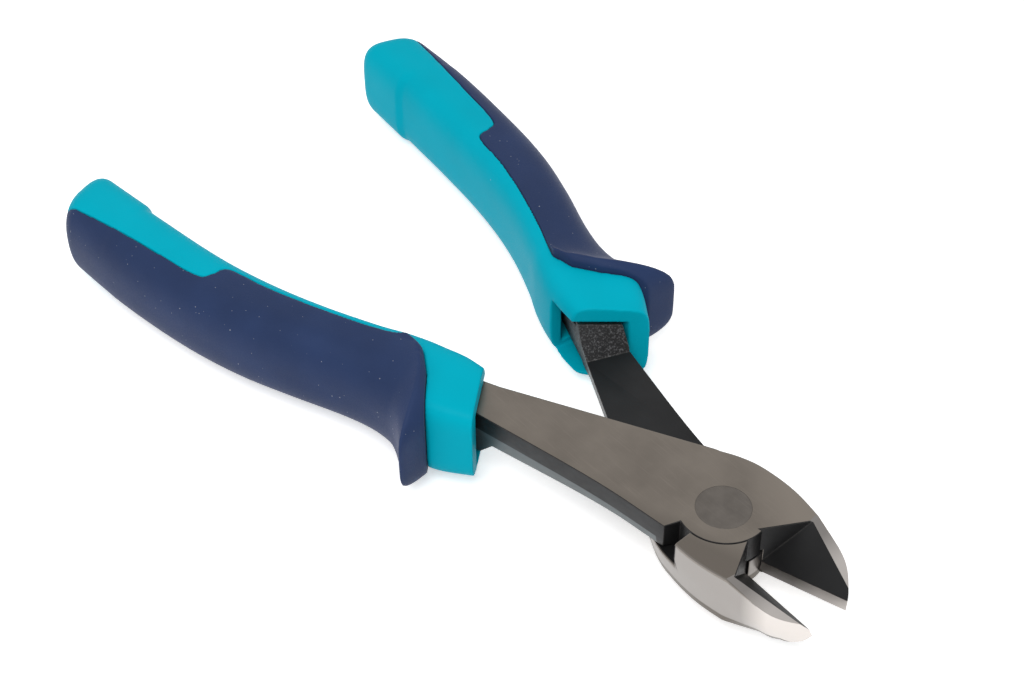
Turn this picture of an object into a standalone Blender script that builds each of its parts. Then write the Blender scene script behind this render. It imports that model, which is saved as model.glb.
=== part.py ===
"""Diagonal cutter: two lap-jointed levers on a flush rivet, each tang in a hard grip core with a soft cover.

Every piece is drawn with the jaws closed, in the upper lever's own frame: the pivot axis is Z, the cutting
edge lies along +X, the jaw is on the +Y side and the handle on the -Y side, and z = 0 is mid-head.
The lower lever is the same drawing turned half a turn about X, but the edge plane, the lean of the walls
and the slope of the nose face the same way up on both. Each lever then turns about the pivot to the resting
opening. The origin of the finished tool is the centre of the rivet's upper face.
"""

import math

import bmesh
import bpy
from mathutils import Vector

MM = 0.001

# Joint
REST_OPENING = math.radians(17.6)
HEAD_THICK = 12.0 * MM
LAP_GAP = 0.3 * MM
RIVET_RADIUS = 5.0 * MM
RIVET_CLEARANCE = 0.3 * MM
BOSS_RADIUS = 8.3 * MM
BOSS_CLEARANCE = 0.35 * MM
HOOK_ANGLE = math.radians(117.0)
SHOULDER_ANGLE = math.radians(79.0)

# Head outline
HEAD_HALF_WIDTH = 12.3 * MM
JAW_LENGTH = 26.3 * MM
TIP_FLAT = 1.9 * MM
TIP_SETBACK = 1.0 * MM
NOSE_SETBACK = 4.9 * MM
JAW_NOSE_X = JAW_LENGTH - NOSE_SETBACK
JAW_NOSE_Y = 6.1 * MM
JAW_SHOULDER_X = 13.6 * MM
JAW_SHOULDER_Y = 9.3 * MM
SHOULDER_FALL = 0.8 * MM
ARM_ROOT_X = -9.5 * MM
ARM_ROOT_Y = 10.3 * MM
ROOT_FALL = 0.5 * MM
WALL_DRAFT = 1.6 * MM
NOSE_DRAFT = 2.4 * MM
NOSE_LENGTH = 13.1 * MM
NOSE_FROM_X = JAW_LENGTH - NOSE_LENGTH
NOSE_RISE = 5.8 * MM
NOSE_FADE = 3.0 * MM
NOSE_FALL = math.radians(19.0)
PARTING_HEIGHT = 2.2 * MM

# Cutting edges, which share one plane that rises towards the tips
EDGE_GAP = 0.2 * MM
EDGE_TIP_HEIGHT = -1.3 * MM
EDGE_ROOT_HEIGHT = -4.6 * MM
EDGE_LAND = 1.15 * MM
LAND_ANGLE = math.radians(72.0)
UPPER_BEVEL_ANGLE = math.radians(48.6)
LOWER_BEVEL_ANGLE = math.radians(46.0)
THROAT_X = 7.7 * MM
THROAT_ANGLE = math.radians(51.7)

# Arm and tang
ARM_END_X = -49.2 * MM
ARM_INNER_END_Y = -2.9 * MM
ARM_OUTER_END_Y = -11.0 * MM
ARM_WAIST_X = -21.8 * MM
ARM_WAIST_Y = -9.8 * MM
HOOK_RADIUS = 11.5 * MM
SWELL_FROM_X = -12.0 * MM
SWELL_FROM_Y = -10.0 * MM
SWELL_SLOPE = math.radians(15.0)
SHOULDER_LEAD = 4.6 * MM
SHOULDER_SLOPE = math.radians(58.0)
TANG_DROP = 4.5 * MM
TANG_TOP_STEP = 1.2 * MM
TANG_END_X = -98.0 * MM
TANG_END_Y = -17.4 * MM
TANG_END_WIDTH = 5.0 * MM
TANG_INSET = 1.5 * MM

# Grip
GRIP_FRONT_X = -36.0 * MM
COLLAR_X = -51.7 * MM
COLLAR_Y = -4.6 * MM
COLLAR_SLANT = math.radians(32.0)
BUTT_X = -151.4 * MM
BUTT_SLANT = math.radians(12.0)
BUTT_RADIUS = 4.5 * MM
SLANT_FROM_X = -128.0 * MM
INNER_SQUARENESS = 3.7
OUTER_SQUARENESS = 2.5
COLLAR_SQUARENESS = 5.0
SQUARE_FROM_X = -62.0 * MM
SQUARE_TO_X = -55.0 * MM
RING_POINTS = 28
RING_PITCH = 4.2 * MM
GUARD_PITCH = 1.9 * MM
FINE_FROM_X = -76.0 * MM
COVER_WALL = 2.2 * MM
COVER_GAP = 0.3 * MM
GRIP_LIFT = 1.2 * MM
LIFT_FROM_X = -120.0 * MM
LIFT_TO_X = -80.0 * MM
PAD_X = -134.0 * MM
PAD_RAMP = 2.0 * MM
PAD_HEIGHT = 0.8 * MM
GUARD_SIDE = 7.6 * MM
GUARD_LEAN = 2.1 * MM
GUARD_TOP = 2.4 * MM
GUARD_CREST = 1.8 * MM
GUARD_TAIL = 4.4 * MM
POCKET_CLEARANCE = 0.5 * MM
MOUTH_HEIGHT = 13.2 * MM
MOUTH_DEPTH = 8.5 * MM

# Grip stations: x, inner side y, outer side y, half height
GRIP_STATIONS = [
    (-36.0 * MM, -3.4 * MM, -11.4 * MM, 7.2 * MM),
    (-45.0 * MM, -2.8 * MM, -15.4 * MM, 8.2 * MM),
    (-53.0 * MM, -2.5 * MM, -18.8 * MM, 9.2 * MM),
    (-61.0 * MM, -2.6 * MM, -19.2 * MM, 9.5 * MM),
    (-68.0 * MM, -4.0 * MM, -19.8 * MM, 9.5 * MM),
    (-75.0 * MM, -6.4 * MM, -21.0 * MM, 9.5 * MM),
    (-86.0 * MM, -9.2 * MM, -23.7 * MM, 9.5 * MM),
    (-98.0 * MM, -11.0 * MM, -26.0 * MM, 9.5 * MM),
    (-112.0 * MM, -11.8 * MM, -27.0 * MM, 9.5 * MM),
    (-132.0 * MM, -11.4 * MM, -26.6 * MM, 9.6 * MM),
    (-152.0 * MM, -10.4 * MM, -24.6 * MM, 9.4 * MM),
]

# Edge of the soft cover from above: along the grip from the butt, then the guard's front from its inner tip
COVER_BAND = [
    (-170.0 * MM, -23.0 * MM),
    (-130.0 * MM, -21.3 * MM),
    (-112.4 * MM, -20.7 * MM),
    (-109.4 * MM, -18.4 * MM),
    (-108.0 * MM, -15.3 * MM),
    (-98.5 * MM, -14.5 * MM),
    (-88.0 * MM, -12.8 * MM),
    (-77.5 * MM, -10.4 * MM),
    (-69.5 * MM, -7.9 * MM),
]
GUARD_FRONT = [
    (-65.6 * MM, -6.2 * MM),
    (-62.0 * MM, -7.8 * MM),
    (-57.7 * MM, -12.8 * MM),
    (-52.0 * MM, -20.4 * MM),
    (-50.0 * MM, -25.0 * MM),
    (-49.0 * MM, -36.0 * MM),
]

HALF_HEAD = HEAD_THICK / 2
BEYOND = 60 * MM
OPEN_SECTOR = math.radians(40.0)
ARC_STEP = math.radians(7.5)
SMOOTH_STEPS = 4
BUTT_STEPS = 4
SHARP_ANGLE = math.radians(32.0)


def clear_scene():
    for obj in list(bpy.data.objects):
        bpy.data.objects.remove(obj, do_unlink=True)


def make_material(name, colour, roughness, metallic):
    material = bpy.data.materials.new(name)
    material.use_nodes = True
    shader = material.node_tree.nodes["Principled BSDF"]
    shader.inputs["Base Color"].default_value = (*colour, 1)
    shader.inputs["Roughness"].default_value = roughness
    shader.inputs["Metallic"].default_value = metallic
    return material


def polar(radius, angle):
    return Vector((radius * math.cos(angle), radius * math.sin(angle)))


def arc(radius, start, end):
    """Points on a circle about the pivot, both ends included."""
    steps = max(2, round(abs(end - start) / ARC_STEP))
    return [polar(radius, start + (end - start) * i / steps) for i in range(steps + 1)]


def smooth(points):
    """A Catmull-Rom curve through the points, both ends included."""
    points = [Vector(p) for p in points]
    padded = [2 * points[0] - points[1], *points, 2 * points[-1] - points[-2]]
    curve = []
    for a, b, c, d in zip(padded, padded[1:], padded[2:], padded[3:]):
        for i in range(SMOOTH_STEPS):
            t = i / SMOOTH_STEPS
            curve.append(
                b
                + (c - a) * t / 2
                + (a - 2.5 * b + 2 * c - d / 2) * t**2
                + (1.5 * (b - c) + (d - a) / 2) * t**3
            )
    return [*curve, points[-1]]


def offset(outline, distance, closed=True):
    """The outline moved to its left by a distance, with mitred corners."""
    moved = []
    count = len(outline)
    for i, point in enumerate(outline):
        before = outline[i - 1] if closed or i else None
        after = outline[(i + 1) % count] if closed or i + 1 < count else None
        normals = []
        for a, b in ((before, point), (point, after)):
            if a is not None and b is not None:
                along = (b - a).normalized()
                normals.append(Vector((-along.y, along.x)))
        middle = (normals[0] + normals[-1]).normalized()
        moved.append(point + middle * distance / max(0.5, middle.dot(normals[0])))
    return moved


def loft(name, rings, side):
    """A closed solid through rings of equal length. side -1 turns it half a turn about X."""
    mesh = bpy.data.meshes.new(name)
    shape = bmesh.new()
    loops = []
    for ring in rings:
        loops.append([shape.verts.new((x, side * y, side * z)) for x, y, z in ring])
    for near, far in zip(loops, loops[1:]):
        for i in range(len(near)):
            j = (i + 1) % len(near)
            shape.faces.new((near[i], near[j], far[j], far[i]))
    shape.faces.new(loops[0])
    shape.faces.new(loops[-1])
    bmesh.ops.recalc_face_normals(shape, faces=shape.faces)
    bmesh.ops.triangulate(shape, faces=shape.faces)
    shape.to_mesh(mesh)
    shape.free()
    mesh.shade_smooth()
    mesh.set_sharp_from_angle(angle=SHARP_ANGLE)
    obj = bpy.data.objects.new(name, mesh)
    bpy.context.scene.collection.objects.link(obj)
    return obj


def prism(name, outline, low, high, side):
    """An upright solid on an outline. low and high are heights or functions of the plan point."""
    heights = [level if callable(level) else (lambda point, z=level: z) for level in (low, high)]
    return loft(name, [[(p.x, p.y, height(p)) for p in outline] for height in heights], side)


def helper(obj):
    obj.hide_render = True
    obj.display_type = "WIRE"
    return obj


def shape_with(obj, tool, operation):
    """Cuts a piece with a tool, which then moves with it."""
    tool.parent = obj
    modifier = obj.modifiers.new(operation.lower(), "BOOLEAN")
    modifier.operation = operation
    modifier.solver = "EXACT"
    modifier.object = helper(tool)


def head_outline():
    """The jaw's and boss's outer side, from the tip round to the arm's inner edge."""
    return smooth(
        [
            (JAW_LENGTH, EDGE_GAP / 2),
            (JAW_LENGTH - TIP_SETBACK, TIP_FLAT),
            (JAW_NOSE_X, JAW_NOSE_Y),
            (JAW_SHOULDER_X, JAW_SHOULDER_Y),
            (JAW_SHOULDER_X / 2, HEAD_HALF_WIDTH - SHOULDER_FALL),
            (0, HEAD_HALF_WIDTH),
            (ARM_ROOT_X / 2, HEAD_HALF_WIDTH - ROOT_FALL),
            (ARM_ROOT_X, ARM_ROOT_Y),
        ]
    )


def tang_sides():
    """The tang's inner end corner and outer end corner."""
    along = (Vector((TANG_END_X, TANG_END_Y)) - arm_end_middle()).normalized()
    across = Vector((-along.y, along.x)) * TANG_END_WIDTH / 2
    end = Vector((TANG_END_X, TANG_END_Y))
    return end - across, end + across


def arm_end_middle():
    return Vector((ARM_END_X, (ARM_INNER_END_Y + ARM_OUTER_END_Y) / 2))


def lever_outline():
    """The whole lever from above, anticlockwise from the tip."""
    inner_end, outer_end = tang_sides()
    hook = polar(HOOK_RADIUS, -HOOK_ANGLE)
    arm_outer = smooth(
        [(ARM_END_X, ARM_OUTER_END_Y), (ARM_WAIST_X, ARM_WAIST_Y), hook]
    )
    return [
        *head_outline(),
        Vector((ARM_END_X, ARM_INNER_END_Y)),
        inner_end,
        outer_end,
        *arm_outer,
        *arc(BOSS_RADIUS, -HOOK_ANGLE, math.asin(EDGE_GAP / 2 / BOSS_RADIUS)),
    ]


def edge_height(x):
    """Height of the cutting edge, world up, at a distance from the pivot."""
    share = (x - BOSS_RADIUS) / (JAW_LENGTH - BOSS_RADIUS)
    return EDGE_ROOT_HEIGHT + (EDGE_TIP_HEIGHT - EDGE_ROOT_HEIGHT) * share


def throat_area():
    """Plan of everything ahead of the throat wall, where the bevels are cut."""
    root = Vector((THROAT_X, 0))
    high = root + polar(BEYOND / 2, THROAT_ANGLE)
    ahead = Vector((BEYOND, 0))
    return [root, root + ahead, high + ahead, high]


def bevel_tool(name, side, up, angle, start):
    """Removes the jaw beyond a slope that leaves the edge upwards (up 1) or downwards (up -1)."""

    def slope(point):
        return side * (edge_height(point.x) + up * (start + (point.y - EDGE_GAP / 2) * math.tan(angle)))

    def beyond(point):
        return slope(point) + side * up * BEYOND

    low, high = (slope, beyond) if side * up > 0 else (beyond, slope)
    return prism(name, throat_area(), low, high, side)


def nose_tool(name, side):
    """Removes what lies above the slope that thins the jaw from its shoulder to its tip."""

    def slope(point):
        return side * (HALF_HEAD - (point.x - NOSE_FROM_X) * math.tan(NOSE_FALL))

    def beyond(point):
        return slope(point) + side * BEYOND

    back, front, far = NOSE_FROM_X - HALF_HEAD, JAW_LENGTH + HALF_HEAD, HEAD_HALF_WIDTH * 2
    outline = [Vector(p) for p in ((back, -far), (front, -far), (front, far), (back, far))]
    low, high = (slope, beyond) if side > 0 else (beyond, slope)
    return prism(name, outline, low, high, side)


def collar_line(y, ahead=0.0):
    """A point of the collar's slanted front seen from above, or of a line ahead of it."""
    return Vector((COLLAR_X + ahead - (y - COLLAR_Y) * math.tan(COLLAR_SLANT), y))


def lap_tool(name, side):
    """Removes the half of the joint and arm that the other lever fills."""
    clear = BOSS_RADIUS + BOSS_CLEARANCE
    outline = [
        *arc(clear, SHOULDER_ANGLE, 0),
        Vector((clear, -BEYOND)),
        collar_line(-BEYOND / 2),
        collar_line(ARM_ROOT_Y),
        polar(BEYOND, SHOULDER_ANGLE + OPEN_SECTOR),
        polar(BEYOND / 2, SHOULDER_ANGLE),
    ]
    tool = prism(name, outline[::-1], -BEYOND, LAP_GAP / 2, side)
    swell = Vector((SWELL_FROM_X, SWELL_FROM_Y))
    along = (Vector((ARM_END_X, ARM_INNER_END_Y)) - swell).normalized()
    outward = Vector((-along.y, along.x))
    backward = Vector((-math.cos(COLLAR_SLANT), -math.sin(COLLAR_SLANT)))
    shoulder = collar_line(COLLAR_Y, SHOULDER_LEAD)
    shape_with(tool, keep_tool(name + "_swell", side, swell, outward, SWELL_SLOPE), "DIFFERENCE")
    shape_with(tool, keep_tool(name + "_shoulder", side, shoulder, backward, SHOULDER_SLOPE), "DIFFERENCE")
    return tool


def keep_tool(name, side, start, outward, slope):
    """Keeps what lies above a plane that falls from the lap, outward from a line, out of the lap cut."""
    along = Vector((outward.y, -outward.x)) * BEYOND

    def level(point):
        return LAP_GAP / 2 - math.tan(slope) * (point - start).dot(outward)

    inside, outside = start - outward * BEYOND / 8, start + outward * BEYOND / 2
    outline = [inside - along, inside + along, outside + along, outside - along]
    return prism(name, outline, level, BEYOND, side)


def tang_tools(name, side):
    """Thins the tang, which is rough forged, from just inside the collar to its end."""
    front = [collar_line(y, -TANG_INSET) for y in (ARM_ROOT_Y, -BEYOND / 2)]
    back = Vector((2 * TANG_END_X, 0))
    outline = [front[0], front[0] + back, front[1] + back, front[1]]
    under = prism(name + "_under", outline, -BEYOND, -TANG_DROP, side)
    over = prism(name + "_over", outline, HALF_HEAD - TANG_TOP_STEP, BEYOND, side)
    return under, over


def wall_ring(outline, z):
    """The outline at a height: walls lean in below the parting line, and round the jaw's nose further."""
    boss = len(arc(BOSS_RADIUS, -HOOK_ANGLE, 0))
    below = max(0, PARTING_HEIGHT - z) / (PARTING_HEIGHT + HALF_HEAD)
    under = max(0, -z / HALF_HEAD) ** 1.5
    ring = []
    for p, q in zip(outline[:-boss], offset(outline, WALL_DRAFT)):
        nose = max(0, min(1, (p.x - NOSE_FROM_X) / NOSE_RISE, (JAW_LENGTH - p.x) / NOSE_FADE))
        lean = below * min(1, 1 - p.x / JAW_LENGTH) + under * nose * NOSE_DRAFT / WALL_DRAFT
        ring.append(p.lerp(q, lean))
    return ring + outline[-boss:]


def make_lever(name, side, pivot, material):
    outline = lever_outline()
    levels = [HALF_HEAD, PARTING_HEIGHT, 0, -HALF_HEAD / 3, -HALF_HEAD * 2 / 3, -HALF_HEAD]
    rings = [[(p.x, p.y, side * z) for p in wall_ring(outline, z)] for z in levels]
    lever = loft(name, rings, side)
    bore = arc(RIVET_RADIUS + RIVET_CLEARANCE, 0, 2 * math.pi)[:-1]
    tools = [
        nose_tool(name + "_nose", side),
        lap_tool(name + "_lap", side),
        *tang_tools(name + "_tang", side),
        prism(name + "_bore", bore, -BEYOND, BEYOND, side),
        bevel_tool(name + "_upper_bevel", side, 1, UPPER_BEVEL_ANGLE, EDGE_LAND),
        bevel_tool(name + "_land", side, 1, LAND_ANGLE, 0),
        bevel_tool(name + "_lower_bevel", side, -1, LOWER_BEVEL_ANGLE, 0),
    ]
    for tool in tools:
        shape_with(lever, tool, "DIFFERENCE")
    finish(lever, pivot, material)


def make_rivet(pivot, material):
    rivet = prism("pivot_rivet", arc(RIVET_RADIUS, 0, 2 * math.pi)[:-1], -HALF_HEAD, HALF_HEAD, 1)
    finish(rivet, pivot, material)


def station(x):
    """Inner side, outer side and half height of the grip at x, on a smooth curve through the stations."""
    stations = GRIP_STATIONS
    last = len(stations) - 2
    k = next((i for i in range(last) if stations[i + 1][0] <= x), last)
    span = [Vector(stations[min(max(i, 0), last + 1)]) for i in range(k - 1, k + 3)]
    a, b, c, d = span
    t = (x - b[0]) / (c[0] - b[0])
    width = c[0] - b[0]
    into = (c - a) * width / (c[0] - a[0])
    out = (d - b) * width / (d[0] - b[0])
    point = (
        b * (2 * t**3 - 3 * t**2 + 1)
        + into * (t**3 - 2 * t**2 + t)
        + c * (3 * t**2 - 2 * t**3)
        + out * (t**3 - t**2)
    )
    return point[1], point[2], point[3]


def guard_front_x(y):
    """Where the guard's front edge lies at a distance across the grip."""
    points = GUARD_FRONT
    k = next((i for i in range(len(points) - 2) if points[i + 1][1] <= y), len(points) - 2)
    (x0, y0), (x1, y1) = points[k], points[k + 1]
    return x0 + (x1 - x0) * min(max((y - y0) / (y1 - y0), 0), 1)


def step(value, low, high):
    """0 below low, 1 above high and a smooth rise between them."""
    share = min(max((value - low) / (high - low), 0), 1)
    return share * share * (3 - 2 * share)


def guard_rise(back):
    """Height of the guard, as a share, at a distance behind its front edge."""
    if back < GUARD_CREST:
        return step(back, -GUARD_CREST, GUARD_CREST)
    return math.exp((GUARD_CREST - back) / GUARD_TAIL)


def grip_ring(x, side, inset, guarded):
    """One section of the grip, moved in by an inset. A guarded one carries the guard's crest."""
    inner, outer, half = station(x)
    inner += PAD_HEIGHT * step(-x, -PAD_X, PAD_RAMP - PAD_X)
    end = min(x - BUTT_X, BUTT_RADIUS)
    inset += BUTT_RADIUS - math.sqrt(max(BUTT_RADIUS**2 - (BUTT_RADIUS - end) ** 2, 0))
    middle = (inner + outer) / 2
    wide, high = (inner - outer) / 2 - inset, half - inset
    collar = step(x, SQUARE_FROM_X, SQUARE_TO_X)
    lift = side * GRIP_LIFT * step(x, LIFT_FROM_X, LIFT_TO_X)
    slant = math.tan(BUTT_SLANT) * min(max((SLANT_FROM_X - x) / (SLANT_FROM_X - BUTT_X), 0), 1)
    ring = []
    for i in range(RING_POINTS):
        angle = 2 * math.pi * (i + 0.5) / RING_POINTS
        across, up = math.cos(angle), math.sin(angle)
        square = INNER_SQUARENESS if across > 0 else OUTER_SQUARENESS
        power = 2 / (square + (COLLAR_SQUARENESS - square) * collar)
        y = middle + wide * math.copysign(abs(across) ** power, across)
        z = high * math.copysign(abs(up) ** power, up)
        ahead = -slant * (y - middle)
        if guarded:
            rise = guard_rise(guard_front_x(y) - x)
            outside = rise * min(across, 0) * across
            ahead += GUARD_LEAN * outside
            y -= GUARD_SIDE * outside
            z += rise * GUARD_TOP * up * abs(up)
        ring.append((x + ahead, y, z + lift))
    return ring


def grip_body(name, side, inset=0.0, guarded=False):
    """The grip's outer form from ahead of the collar to the rounded butt."""
    straight = [GRIP_FRONT_X]
    while straight[-1] > BUTT_X + BUTT_RADIUS + RING_PITCH:
        straight.append(straight[-1] - (GUARD_PITCH if straight[-1] > FINE_FROM_X else RING_PITCH))
    turns = [math.pi / 2 * i / BUTT_STEPS for i in range(BUTT_STEPS)]
    rounded = [BUTT_X + BUTT_RADIUS * (1 - math.sin(turn)) for turn in turns]
    places = [x + inset * (x < SLANT_FROM_X) for x in straight + rounded]
    return loft(name, [grip_ring(x, side, inset, guarded) for x in places], side)


def cover_area(gap):
    """Plan of the soft cover, drawn back from its edge by a gap."""
    edge = offset(smooth(COVER_BAND) + [Vector(p) for p in GUARD_FRONT], -gap, closed=False)
    return [*edge, Vector((edge[-1].x, -BEYOND)), Vector((edge[0].x, -BEYOND))]


def tang_pocket(name, side):
    """The hole that the tang fills."""
    inner, outer = Vector((ARM_END_X, ARM_INNER_END_Y)), Vector((ARM_END_X, ARM_OUTER_END_Y))
    inner_end, outer_end = tang_sides()
    forward = Vector((GRIP_FRONT_X - ARM_END_X, 0))
    tang = [inner + forward, inner, inner_end, outer_end, outer, outer + forward]
    outline = offset(tang, -POCKET_CLEARANCE)
    top = HALF_HEAD - TANG_TOP_STEP + POCKET_CLEARANCE
    return prism(name, outline, -TANG_DROP - POCKET_CLEARANCE, top, side)


def mouth_tool(name, side):
    """The taller mouth at the collar, which is open along the grip's inner side."""
    back = COLLAR_X - MOUTH_DEPTH
    open_y = BEYOND / 4
    outer, outer_end = Vector((ARM_END_X, ARM_OUTER_END_Y)), tang_sides()[1]
    deep = outer.lerp(outer_end, (back - outer.x) / (outer_end.x - outer.x))
    clear = Vector((0, -2 * POCKET_CLEARANCE))
    front = Vector((GRIP_FRONT_X, ARM_OUTER_END_Y))
    sides = [deep + clear, outer + clear, front + clear]
    outline = [Vector((GRIP_FRONT_X, open_y)), Vector((back, open_y)), *sides]
    return prism(name, outline, -MOUTH_HEIGHT / 2, MOUTH_HEIGHT / 2, side)


def collar_tool(name, side):
    """Removes everything ahead of the collar's slanted front."""
    low, high = collar_line(-BEYOND), collar_line(BEYOND)
    ahead = Vector((2 * BEYOND, 0))
    return prism(name, [low, low + ahead, high + ahead, high], -BEYOND, BEYOND, side)


def make_grip(name, side, pivot, hard, soft):
    bed_form = grip_body(name + "_bed_form", side, COVER_WALL)
    bed = prism(name + "_bed", cover_area(0), -BEYOND, BEYOND, side)
    shape_with(bed, bed_form, "DIFFERENCE")
    core = grip_body(name + "_core", side)
    pocket, mouth = tang_pocket(name + "_pocket", side), mouth_tool(name + "_mouth", side)
    for tool in (bed, pocket, mouth, collar_tool(name + "_front", side)):
        shape_with(core, tool, "DIFFERENCE")
    finish(core, pivot, hard)

    area = prism(name + "_cover_area", cover_area(COVER_GAP), -BEYOND, BEYOND, side)
    seat = grip_body(name + "_seat", side, COVER_WALL - COVER_GAP)
    cover = grip_body(name + "_cover", side, guarded=True)
    shape_with(cover, area, "INTERSECT")
    shape_with(cover, seat, "DIFFERENCE")
    finish(cover, pivot, soft)


def finish(obj, pivot, material):
    obj.data.materials.append(material)
    obj.parent = pivot


def make_pivot(name, turn, tool):
    pivot = bpy.data.objects.new(name, None)
    bpy.context.scene.collection.objects.link(pivot)
    pivot.parent = tool
    pivot.rotation_euler.z = turn
    return pivot


def main():
    clear_scene()
    steel = make_material("ground_steel", (0.19, 0.17, 0.15), 0.4, 1.0)
    rivet_steel = make_material("rivet_steel", (0.14, 0.13, 0.115), 0.42, 1.0)
    teal = make_material("teal_plastic", (0.0, 0.45, 0.58), 0.4, 0.0)
    navy = make_material("navy_rubber", (0.022, 0.045, 0.102), 0.6, 0.0)
    tool = bpy.data.objects.new("tool", None)
    bpy.context.scene.collection.objects.link(tool)
    tool.location.z = -HALF_HEAD
    upper = make_pivot("upper_pivot", REST_OPENING / 2, tool)
    lower = make_pivot("lower_pivot", -REST_OPENING / 2, tool)
    make_lever("upper_lever", 1, upper, steel)
    make_lever("lower_lever", -1, lower, steel)
    make_rivet(upper, rivet_steel)
    make_grip("left_grip", 1, upper, teal, navy)
    make_grip("right_grip", -1, lower, teal, navy)


main()
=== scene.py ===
"""Dresses a diagonal cutter: forged levers on a flush rivet, grip cores and soft covers, on a pale floor.

Each piece is drawn with the jaws closed, in the upper lever's own frame, as its solid is: Z is the pivot
axis, the cutting edge lies along +X, the jaw is on the +Y side and the handle on the -Y side. The lower half
is the same drawing turned half a turn about X, apart from the edge plane, the lean of the walls and the slope
of the nose, which face the same way up on both. Each half then turns to the resting opening.
"""

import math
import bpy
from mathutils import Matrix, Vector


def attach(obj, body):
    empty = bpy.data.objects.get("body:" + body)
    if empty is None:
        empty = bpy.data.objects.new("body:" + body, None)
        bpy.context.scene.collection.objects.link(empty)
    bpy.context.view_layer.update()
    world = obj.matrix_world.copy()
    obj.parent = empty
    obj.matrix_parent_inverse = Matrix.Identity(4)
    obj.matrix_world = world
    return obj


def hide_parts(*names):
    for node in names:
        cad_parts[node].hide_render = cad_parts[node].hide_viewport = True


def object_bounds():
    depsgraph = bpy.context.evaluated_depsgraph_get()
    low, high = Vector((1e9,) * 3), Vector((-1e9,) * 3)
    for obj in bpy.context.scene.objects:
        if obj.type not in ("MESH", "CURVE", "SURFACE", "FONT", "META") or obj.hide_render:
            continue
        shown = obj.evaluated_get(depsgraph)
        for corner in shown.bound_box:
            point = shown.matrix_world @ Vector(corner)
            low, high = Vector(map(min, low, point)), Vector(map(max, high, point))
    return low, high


bl_info = {
    "name": "Diagonal Cutter",
    "version": (1, 0, 0),
    "blender": (4, 5, 0),
    "location": "View3D > Sidebar > Cutter",
    "description": "Builds the dressed pieces of a diagonal cutter and its studio stage",
    "category": "Add Mesh",
}

import bmesh
import bpy
from bpy.props import FloatProperty, FloatVectorProperty, IntProperty, PointerProperty
from mathutils import Matrix, Vector

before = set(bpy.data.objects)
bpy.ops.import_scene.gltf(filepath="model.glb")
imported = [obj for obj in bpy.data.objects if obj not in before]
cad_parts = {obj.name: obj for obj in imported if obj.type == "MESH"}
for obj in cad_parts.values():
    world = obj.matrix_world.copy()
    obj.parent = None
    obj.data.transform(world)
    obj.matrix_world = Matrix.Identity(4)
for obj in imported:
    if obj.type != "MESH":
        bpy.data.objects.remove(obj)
CAD_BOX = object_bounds()

MM = 0.001

# Joint
REST_OPENING = math.radians(17.6)
HEAD_THICK = 12.0 * MM
LAP_GAP = 0.3 * MM
RIVET_RADIUS = 5.0 * MM
BOSS_RADIUS = 8.3 * MM
BOSS_CLEARANCE = 0.06 * MM
HOOK_ANGLE = math.radians(117.0)
SHOULDER_ANGLE = math.radians(79.0)

# Head outline
HEAD_HALF_WIDTH = 12.3 * MM
JAW_LENGTH = 26.3 * MM
TIP_FLAT = 1.9 * MM
TIP_SETBACK = 1.0 * MM
NOSE_SETBACK = 4.9 * MM
JAW_NOSE_X = JAW_LENGTH - NOSE_SETBACK
JAW_NOSE_Y = 6.1 * MM
JAW_SHOULDER_X = 13.6 * MM
JAW_SHOULDER_Y = 9.3 * MM
SHOULDER_FALL = 0.8 * MM
ARM_ROOT_X = -9.5 * MM
ARM_ROOT_Y = 10.3 * MM
ROOT_FALL = 0.5 * MM
WALL_DRAFT = 1.6 * MM
NOSE_DRAFT = 2.4 * MM
NOSE_LENGTH = 13.1 * MM
NOSE_FROM_X = JAW_LENGTH - NOSE_LENGTH
NOSE_RISE = 5.8 * MM
NOSE_FADE = 3.0 * MM
NOSE_FALL = math.radians(19.0)
PARTING_HEIGHT = 2.2 * MM

# Cutting edges, which share one plane that rises towards the tips
EDGE_GAP = 0.2 * MM
EDGE_TIP_HEIGHT = -1.3 * MM
EDGE_ROOT_HEIGHT = -4.6 * MM
EDGE_LAND = 1.15 * MM
LAND_ANGLE = math.radians(72.0)
UPPER_BEVEL_ANGLE = math.radians(48.6)
LOWER_BEVEL_ANGLE = math.radians(46.0)
THROAT_X = 7.7 * MM
THROAT_ANGLE = math.radians(51.7)

# Arm and tang
ARM_END_X = -49.2 * MM
ARM_INNER_END_Y = -2.9 * MM
ARM_OUTER_END_Y = -11.0 * MM
ARM_WAIST_X = -21.8 * MM
ARM_WAIST_Y = -9.8 * MM
HOOK_RADIUS = 11.5 * MM
SWELL_FROM_X = -12.0 * MM
SWELL_FROM_Y = -10.0 * MM
SWELL_SLOPE = math.radians(15.0)
SHOULDER_LEAD = 4.6 * MM
SHOULDER_SLOPE = math.radians(58.0)
TANG_DROP = 4.5 * MM
TANG_TOP_STEP = 1.2 * MM
TANG_END_X = -98.0 * MM
TANG_END_Y = -17.4 * MM
TANG_END_WIDTH = 5.0 * MM
TANG_INSET = 1.5 * MM

# Grip
GRIP_FRONT_X = -36.0 * MM
COLLAR_X = -51.7 * MM
COLLAR_Y = -4.6 * MM
COLLAR_SLANT = math.radians(32.0)
BUTT_X = -151.4 * MM
BUTT_SLANT = math.radians(12.0)
BUTT_RADIUS = 4.5 * MM
SLANT_FROM_X = -128.0 * MM
INNER_SQUARENESS = 3.7
OUTER_SQUARENESS = 2.5
COLLAR_SQUARENESS = 5.0
SQUARE_FROM_X = -62.0 * MM
SQUARE_TO_X = -55.0 * MM
COVER_WALL = 2.2 * MM
COVER_GAP = 0.08 * MM
GRIP_LIFT = 1.2 * MM
LIFT_FROM_X = -120.0 * MM
LIFT_TO_X = -80.0 * MM
PAD_X = -134.0 * MM
PAD_RAMP = 2.0 * MM
PAD_HEIGHT = 0.8 * MM
GUARD_SIDE = 7.6 * MM
GUARD_LEAN = 2.1 * MM
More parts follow.
